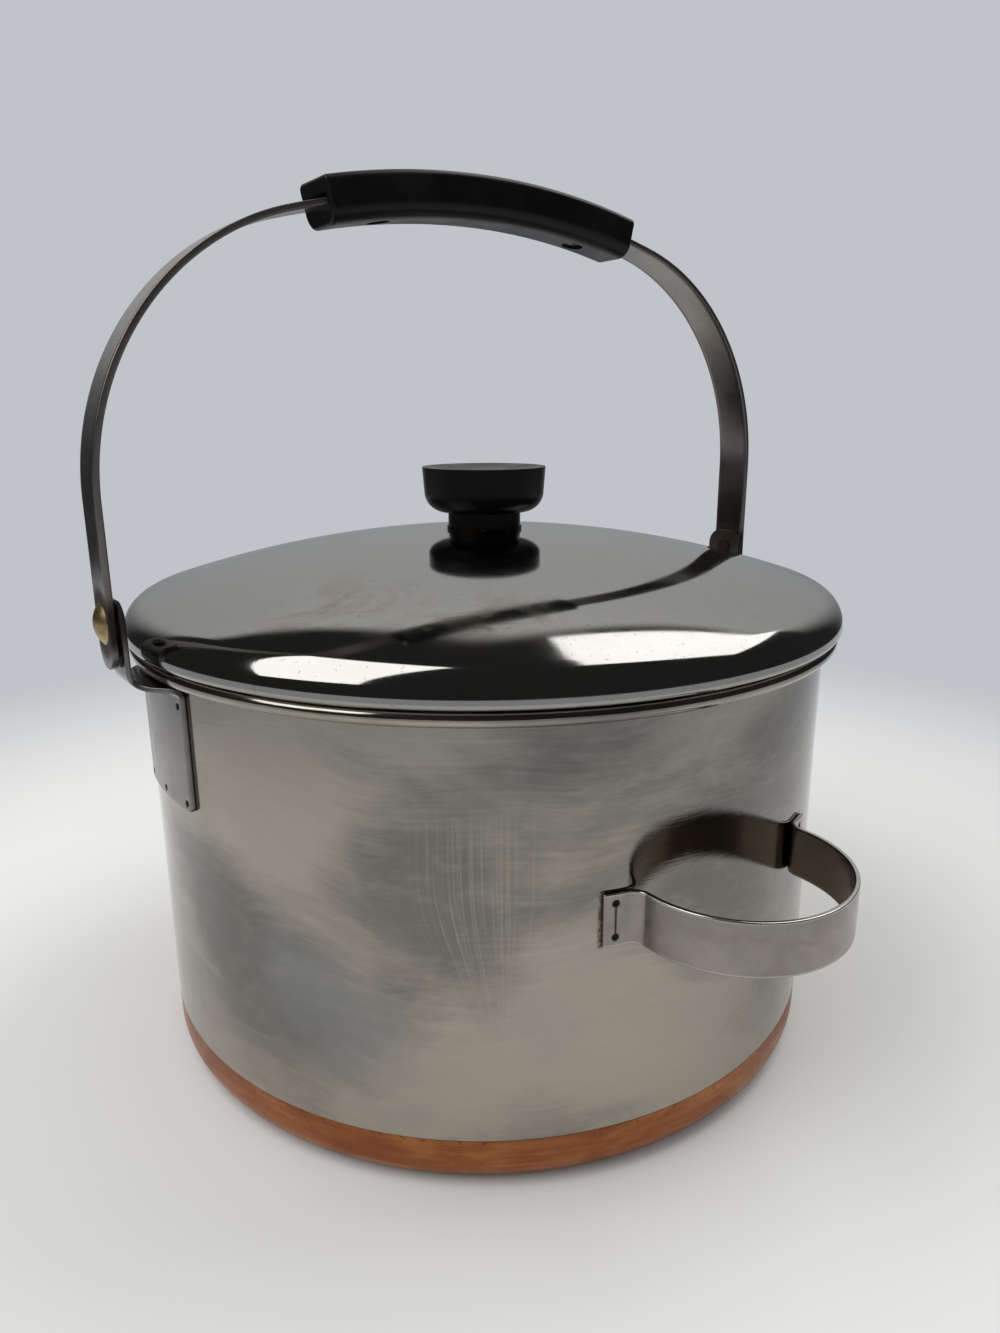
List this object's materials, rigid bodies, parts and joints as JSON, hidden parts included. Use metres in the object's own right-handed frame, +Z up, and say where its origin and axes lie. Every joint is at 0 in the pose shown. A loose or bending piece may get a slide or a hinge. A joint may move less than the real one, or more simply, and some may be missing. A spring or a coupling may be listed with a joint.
{
  "type": "soup kettle",
  "caption": "Straight-sided steel soup kettle with a copper-clad base, lift-off domed lid with a black knob, swinging strap bail with a black grip, and a fixed strap loop for tilting.",
  "frame": {"origin": "middle of the pot's base, on the floor", "axes": "+Z up along the pot's axis, +X along the bail's pivot line, -Y towards the tilting handle"},
  "size_m": [0.2898, 0.2976, 0.3088],
  "materials": {
    "pot_steel": "worn satin stainless steel with cloudy wipe marks",
    "lid_steel": "polished stainless steel with faint smudges",
    "strip_steel": "satin stainless strip",
    "copper": "satin copper with light tarnish",
    "rivet_brass": "aged brass",
    "insert_brass": "turned brass",
    "screw_steel": "bright plated steel",
    "phenolic": "black moulded phenolic, satin gloss"
  },
  "bodies": {
    "pot": {"pot_shell": "pot_steel", "copper_base": "copper", "ear_right": "strip_steel", "ear_left": "strip_steel", "rivet_right": "rivet_brass", "rivet_left": "rivet_brass", "pivot_washer_right": "screw_steel", "pivot_washer_left": "screw_steel", "side_handle": "strip_steel"},
    "bail": {"bail_strap": "strip_steel", "grip_upper": "phenolic", "grip_lower": "phenolic", "grip_screws": "screw_steel", "grip_inserts": "insert_brass"},
    "lid": {"lid_shell": "lid_steel", "lid_knob": "phenolic", "knob_ferrule": "screw_steel", "knob_insert": "insert_brass", "knob_screw": "screw_steel", "knob_washer": "screw_steel"}
  },
  "joints": [
    {"name": "bail_hinge", "type": "hinge", "parent": "pot", "child": "bail", "pos_m": [0, 0, 0.1687], "axis": [1, 0, 0], "range_deg": [-68, 68]},
    {"name": "lid_lift", "type": "slide", "parent": "pot", "child": "lid", "axis": [0, 0, 1], "range_m": [0, 0.035]}
  ]
}
